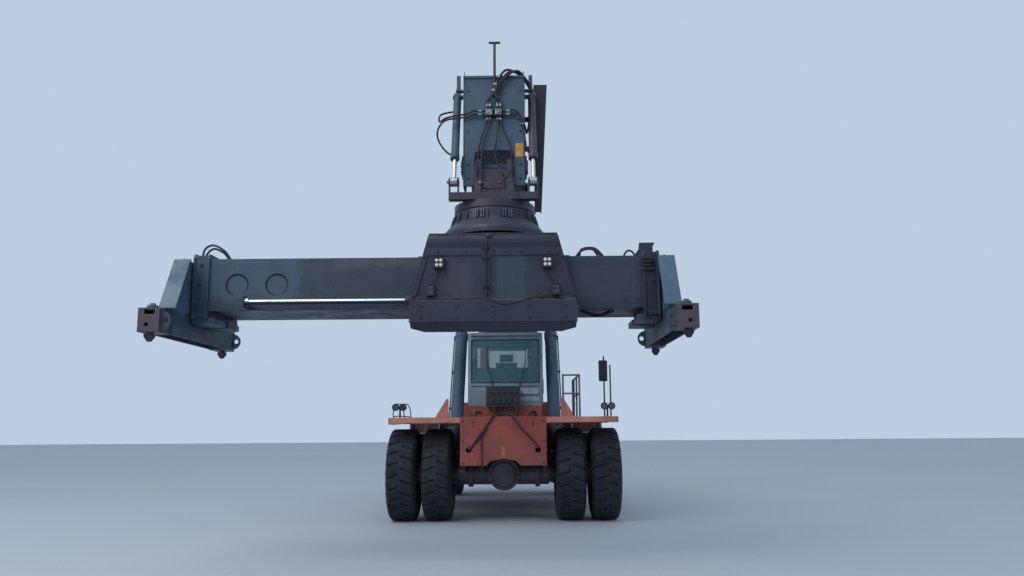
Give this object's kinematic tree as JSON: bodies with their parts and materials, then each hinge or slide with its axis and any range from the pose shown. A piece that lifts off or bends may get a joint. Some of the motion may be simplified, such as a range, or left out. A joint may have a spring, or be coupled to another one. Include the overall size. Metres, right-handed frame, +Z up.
{
  "type": "reach stacker",
  "caption": "Container reach stacker with a telescopic boom over the cab, tilting and turning spreader head, sliding cab and steered rear wheels.",
  "frame": {"origin": "bottom centre of the whole part's box, on the ground", "axes": "+Y to the machine's rear, +X to the viewer's right when the machine is seen from its front, +Z up"},
  "size_m": [6.058, 14.1192, 6.4444],
  "materials": {
    "chassis_paint": "faded red-orange paint",
    "boom_paint": "dusty blue-grey paint",
    "cab_paint": "light grey paint",
    "head_paint": "greasy dark paint",
    "yoke_paint": "rusty brown",
    "rod_chrome": "bright rod",
    "tyre_rubber": "dusty black",
    "glass": "tinted",
    "black_steel": "black",
    "engine_iron": "plain",
    "walk_plate": "grey tread plate",
    "cab_trim": "black",
    "lamp": "pale lens"
  },
  "bodies": {
    "chassis": {"frame": "chassis_paint", "front_fenders": "chassis_paint", "drive_axle": "chassis_paint", "steer_axle": "chassis_paint", "counterweight": "chassis_paint", "engine_hood": "boom_paint", "engine_block": "engine_iron", "side_tanks": "chassis_paint", "walkways": "walk_plate", "handrails": "walk_plate", "mirrors_lamps": "black_steel", "valve_box": "black_steel", "exhaust": "walk_plate"},
    "cab": {"cab_shell": "cab_paint", "cab_glass": "glass", "cab_interior": "cab_trim"},
    "boom": {"outer_boom": "boom_paint", "hose_track": "boom_paint"},
    "boom_inner": {"inner_boom": "boom_paint", "boom_head": "boom_paint", "head_fittings": "black_steel"},
    "tilt_yoke": {"yoke": "yoke_paint", "rotator_cover": "head_paint"},
    "trolley": {"trolley": "head_paint", "trolley_lamps": "lamp", "shift_cylinder": "head_paint"},
    "beam": {"main_beam": "boom_paint", "shift_rod": "rod_chrome"},
    "arm_left": {"arm_left": "boom_paint"},
    "arm_right": {"arm_right": "boom_paint"},
    "cab_door_left": {"door_left": "cab_paint", "door_glass_left": "glass"},
    "hood_door_left": {"hood_door_left": "boom_paint"},
    "lift_barrel_left": {"lift_barrel_left": "boom_paint"},
    "lift_rod_left": {"lift_rod_left": "rod_chrome"},
    "damper_barrel_left": {"damper_barrel_left": "boom_paint"},
    "damper_rod_left": {"damper_rod_left": "rod_chrome"},
    "knuckle_left": {"knuckle_left": "chassis_paint"},
    "wheels_front_left": {"tyres_front_left": "tyre_rubber", "rims_front_left": "chassis_paint"},
    "wheel_rear_left": {"tyre_rear_left": "tyre_rubber", "rim_rear_left": "chassis_paint"},
    "cab_door_right": {"door_right": "cab_paint", "door_glass_right": "glass"},
    "hood_door_right": {"hood_door_right": "boom_paint"},
    "lift_barrel_right": {"lift_barrel_right": "boom_paint"},
    "lift_rod_right": {"lift_rod_right": "rod_chrome"},
    "damper_barrel_right": {"damper_barrel_right": "boom_paint"},
    "damper_rod_right": {"damper_rod_right": "rod_chrome"},
    "knuckle_right": {"knuckle_right": "chassis_paint"},
    "wheels_front_right": {"tyres_front_right": "tyre_rubber", "rims_front_right": "chassis_paint"},
    "wheel_rear_right": {"tyre_rear_right": "tyre_rubber", "rim_rear_right": "chassis_paint"},
    "twistlock_1": {"twistlock_1": "yoke_paint"},
    "twistlock_2": {"twistlock_2": "yoke_paint"},
    "twistlock_3": {"twistlock_3": "yoke_paint"},
    "twistlock_4": {"twistlock_4": "yoke_paint"}
  },
  "joints": [
    {"name": "boom_lift", "type": "hinge", "parent": "chassis", "child": "boom", "pos_m": [0.8, 5.65958, 4.05], "axis": [-1, 0, 0], "range_deg": [-7, 53]},
    {"name": "boom_extend", "type": "slide", "parent": "boom", "child": "boom_inner", "axis": [0, 0.9925, -0.1219], "range_m": [-4.4, 2.66]},
    {"name": "spreader_tilt", "type": "hinge", "parent": "boom_inner", "child": "tilt_yoke", "pos_m": [0.8, -5.84058, 4.85048], "axis": [1, 0, 0], "range_deg": [-10, 54]},
    {"name": "rotator", "type": "hinge", "parent": "tilt_yoke", "child": "trolley", "pos_m": [0.8, -5.84058, 4.15048], "axis": [0, 0, 1], "range_deg": [-95, 185]},
    {"name": "side_shift", "type": "slide", "parent": "trolley", "child": "beam", "axis": [1, 0, 0], "range_m": [0, 1.6]},
    {"name": "arm_left_extend", "type": "slide", "parent": "beam", "child": "arm_left", "axis": [-1, 0, 0], "range_m": [0, 3.067]},
    {"name": "arm_right_extend", "type": "slide", "parent": "beam", "child": "arm_right", "axis": [1, 0, 0], "range_m": [0, 3.067]},
    {"name": "twistlock_1_turn", "type": "hinge", "parent": "arm_left", "child": "twistlock_1", "pos_m": [-2.9265, -6.97008, 2.65048], "axis": [0, 0, 1], "range_deg": [0, 90]},
    {"name": "twistlock_2_turn", "type": "hinge", "parent": "arm_left", "child": "twistlock_2", "pos_m": [-2.9265, -4.71108, 2.65048], "axis": [0, 0, 1], "range_deg": [0, 90]},
    {"name": "twistlock_3_turn", "type": "hinge", "parent": "arm_right", "child": "twistlock_3", "pos_m": [2.9265, -6.97008, 2.65048], "axis": [0, 0, 1], "range_deg": [0, 90]},
    {"name": "twistlock_4_turn", "type": "hinge", "parent": "arm_right", "child": "twistlock_4", "pos_m": [2.9265, -4.71108, 2.65048], "axis": [0, 0, 1], "range_deg": [0, 90]},
    {"name": "lift_barrel_left_tilt", "type": "hinge", "parent": "chassis", "child": "lift_barrel_left", "pos_m": [-0.18, 0.50958, 1.05], "axis": [1, 0, 0], "range_deg": [-0.54, 3.76]},
    {"name": "lift_rod_left_slide", "type": "slide", "parent": "lift_barrel_left", "child": "lift_rod_left", "axis": [0, 0.6021, 0.7984], "range_m": [-0.33453, 2.52632]},
    {"name": "damper_barrel_left_tilt", "type": "hinge", "parent": "boom_inner", "child": "damper_barrel_left", "pos_m": [0.32, -5.69058, 5.85048], "axis": [1, 0, 0], "range_deg": [-3.25, 17.33]},
    {"name": "damper_rod_left_slide", "type": "slide", "parent": "damper_barrel_left", "child": "damper_rod_left", "axis": [0, -0.3896, -0.921], "range_m": [-0.0202, 0.10467]},
    {"name": "wheels_front_left_roll", "type": "hinge", "parent": "chassis", "child": "wheels_front_left", "pos_m": [-0.69, -0.44042, 0.8075], "axis": [1, 0, 0], "continuous": true},
    {"name": "steer_left", "type": "hinge", "parent": "chassis", "child": "knuckle_left", "pos_m": [-0.3, 5.55958, 0.8075], "axis": [0, 0, 1], "range_deg": [-60, 60]},
    {"name": "wheel_rear_left_roll", "type": "hinge", "parent": "knuckle_left", "child": "wheel_rear_left", "pos_m": [-0.6, 5.55958, 0.8075], "axis": [1, 0, 0], "continuous": true},
    {"name": "cab_door_left_swing", "type": "hinge", "parent": "cab", "child": "cab_door_left", "pos_m": [0.014, 3.07658, 2.8], "axis": [0, 0, -1], "range_deg": [0, 85]},
    {"name": "hood_door_left_lift", "type": "hinge", "parent": "chassis", "child": "hood_door_left", "pos_m": [0.036, 4.45958, 2.927], "axis": [0, 1, 0], "range_deg": [0, 85]},
    {"name": "lift_barrel_right_tilt", "type": "hinge", "parent": "chassis", "child": "lift_barrel_right", "pos_m": [1.78, 0.50958, 1.05], "axis": [1, 0, 0], "range_deg": [-0.54, 3.76]},
    {"name": "lift_rod_right_slide", "type": "slide", "parent": "lift_barrel_right", "child": "lift_rod_right", "axis": [0, 0.6021, 0.7984], "range_m": [-0.33453, 2.52632]},
    {"name": "damper_barrel_right_tilt", "type": "hinge", "parent": "boom_inner", "child": "damper_barrel_right", "pos_m": [1.28, -5.69058, 5.85048], "axis": [1, 0, 0], "range_deg": [-3.25, 17.33]},
    {"name": "damper_rod_right_slide", "type": "slide", "parent": "damper_barrel_right", "child": "damper_rod_right", "axis": [0, -0.3896, -0.921], "range_m": [-0.0202, 0.10467]},
    {"name": "wheels_front_right_roll", "type": "hinge", "parent": "chassis", "child": "wheels_front_right", "pos_m": [2.29, -0.44042, 0.8075], "axis": [1, 0, 0], "continuous": true},
    {"name": "steer_right", "type": "hinge", "parent": "chassis", "child": "knuckle_right", "pos_m": [1.9, 5.55958, 0.8075], "axis": [0, 0, 1], "range_deg": [-60, 60]},
    {"name": "wheel_rear_right_roll", "type": "hinge", "parent": "knuckle_right", "child": "wheel_rear_right", "pos_m": [2.2, 5.55958, 0.8075], "axis": [1, 0, 0], "continuous": true},
    {"name": "cab_door_right_swing", "type": "hinge", "parent": "cab", "child": "cab_door_right", "pos_m": [1.586, 3.07658, 2.8], "axis": [0, 0, 1], "range_deg": [0, 85]},
    {"name": "hood_door_right_lift", "type": "hinge", "parent": "chassis", "child": "hood_door_right", "pos_m": [1.564, 4.45958, 2.927], "axis": [0, -1, 0], "range_deg": [0, 85]},
    {"name": "cab_slide", "type": "slide", "parent": "chassis", "child": "cab", "axis": [0, 1, 0], "range_m": [0, 0.95]}
  ],
  "couplings": [
    {"joint": "arm_right_extend", "follows": "arm_left_extend", "ratio": 1},
    {"joint": "twistlock_2_turn", "follows": "twistlock_1_turn", "ratio": 1},
    {"joint": "twistlock_3_turn", "follows": "twistlock_1_turn", "ratio": 1},
    {"joint": "twistlock_4_turn", "follows": "twistlock_1_turn", "ratio": 1},
    {"joint": "lift_barrel_left_tilt", "follows": "boom_lift", "ratio": 0.07},
    {"joint": "lift_rod_left_slide", "follows": "boom_lift", "m_per_rad": 2.73},
    {"joint": "damper_barrel_left_tilt", "follows": "spreader_tilt", "ratio": 0.32},
    {"joint": "damper_rod_left_slide", "follows": "spreader_tilt", "m_per_rad": 0.11},
    {"joint": "lift_barrel_right_tilt", "follows": "boom_lift", "ratio": 0.07},
    {"joint": "lift_rod_right_slide", "follows": "boom_lift", "m_per_rad": 2.73},
    {"joint": "damper_barrel_right_tilt", "follows": "spreader_tilt", "ratio": 0.32},
    {"joint": "damper_rod_right_slide", "follows": "spreader_tilt", "m_per_rad": 0.11},
    {"joint": "steer_right", "follows": "steer_left", "ratio": 1}
  ]
}
